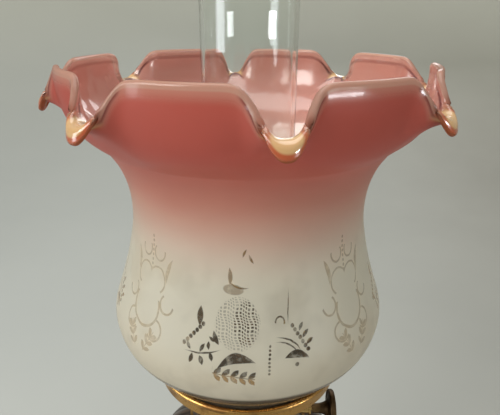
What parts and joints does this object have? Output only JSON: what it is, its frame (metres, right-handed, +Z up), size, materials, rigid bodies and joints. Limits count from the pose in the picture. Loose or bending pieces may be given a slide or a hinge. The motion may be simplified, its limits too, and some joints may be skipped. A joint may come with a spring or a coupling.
{
  "type": "oil lamp",
  "caption": "Table oil lamp: turned base, column, domed font, duplex burner with two winders, clear glass chimney and frilled glass shade.",
  "frame": {"origin": "centre of the face that the lamp stands on", "axes": "+Z up; the winders point along +X and the extinguisher lever along -X; the front is -Y"},
  "size_m": [0.1938, 0.1938, 0.57],
  "materials": {
    "baize": "napped wool baize",
    "black_pottery": "black glaze",
    "iron": "as cast",
    "steel": "turned, dulled",
    "brass": "polished, aged",
    "gilt_brass": "polished and lacquered",
    "dark_brass": "smoked, oxidised",
    "copper": "aged copper",
    "bronze": "brown patina with streaks",
    "wick": "woven cotton",
    "clear_glass": "clear, polished",
    "rose_glass": "rose tint fading to acid satin white, with a clear etched pattern"
  },
  "bodies": {
    "stand": {"base_pad": "baize", "base_plinth": "black_pottery", "base_weight": "iron", "base_washer": "steel", "base_nut": "brass", "tie_rod": "steel", "column_foot": "brass", "column_shaft": "copper", "column_cap": "brass", "font_cup": "bronze", "font": "bronze", "font_collar": "brass"},
    "burner": {"burner_base": "brass", "burner_drum": "brass", "draught_plate": "brass", "wick_tube_front": "brass", "wick_tube_rear": "brass", "winder_bushes": "brass", "extinguisher_bracket": "brass", "extinguisher_pin": "steel", "drum_screws": "steel"},
    "winder_front": {"winder_shaft_front": "brass", "winder_wheel_front": "dark_brass", "spur_wheels_front": "brass"},
    "winder_rear": {"winder_shaft_rear": "brass", "winder_wheel_rear": "dark_brass", "spur_wheels_rear": "brass"},
    "wick_front": {"wick_front": "wick"},
    "wick_rear": {"wick_rear": "wick"},
    "lever": {"extinguisher_lever": "brass"},
    "sleeves": {"extinguisher_sleeves": "brass"},
    "gallery": {"gallery_skirt": "brass", "shade_gallery": "gilt_brass", "chimney_coronet": "dark_brass", "deflector_cone": "dark_brass", "gallery_rivets": "copper", "cone_rivets": "copper"},
    "chimney": {"chimney": "clear_glass"},
    "shade": {"shade": "rose_glass"}
  },
  "joints": [
    {"name": "burner_lift", "type": "slide", "parent": "stand", "child": "burner", "axis": [0, 0, 1], "range_m": [0, 0.14]},
    {"name": "winder_front_turn", "type": "hinge", "parent": "burner", "child": "winder_front", "pos_m": [0.0355, -0.0141, 0.2848], "axis": [1, 0, 0], "range_deg": [-98, 48]},
    {"name": "winder_rear_turn", "type": "hinge", "parent": "burner", "child": "winder_rear", "pos_m": [0.0355, 0.0141, 0.2848], "axis": [-1, 0, 0], "range_deg": [-98, 48]},
    {"name": "wick_front_feed", "type": "slide", "parent": "burner", "child": "wick_front", "axis": [0, 0, 1], "range_m": [-0.0078, 0.0039]},
    {"name": "wick_rear_feed", "type": "slide", "parent": "burner", "child": "wick_rear", "axis": [0, 0, 1], "range_m": [-0.0078, 0.0039]},
    {"name": "lever_press", "type": "hinge", "parent": "burner", "child": "lever", "pos_m": [-0.0382, 0, 0.294], "axis": [0, -1, 0], "range_deg": [0, 19.96]},
    {"name": "extinguisher_rise", "type": "slide", "parent": "burner", "child": "sleeves", "axis": [0, 0, 1], "range_m": [0, 0.0072]},
    {"name": "gallery_lift", "type": "slide", "parent": "burner", "child": "gallery", "axis": [0, 0, 1], "range_m": [0, 0.06]},
    {"name": "chimney_lift", "type": "slide", "parent": "gallery", "child": "chimney", "axis": [0, 0, 1], "range_m": [0, 0.12]},
    {"name": "shade_lift", "type": "slide", "parent": "gallery", "child": "shade", "axis": [0, 0, 1], "range_m": [0, 0.12]}
  ],
  "couplings": [
    {"joint": "wick_front_feed", "follows": "winder_front_turn", "m_per_rad": 0.0045},
    {"joint": "wick_rear_feed", "follows": "winder_rear_turn", "m_per_rad": 0.0045},
    {"joint": "extinguisher_rise", "follows": "lever_press", "m_per_rad": 0.020098}
  ]
}
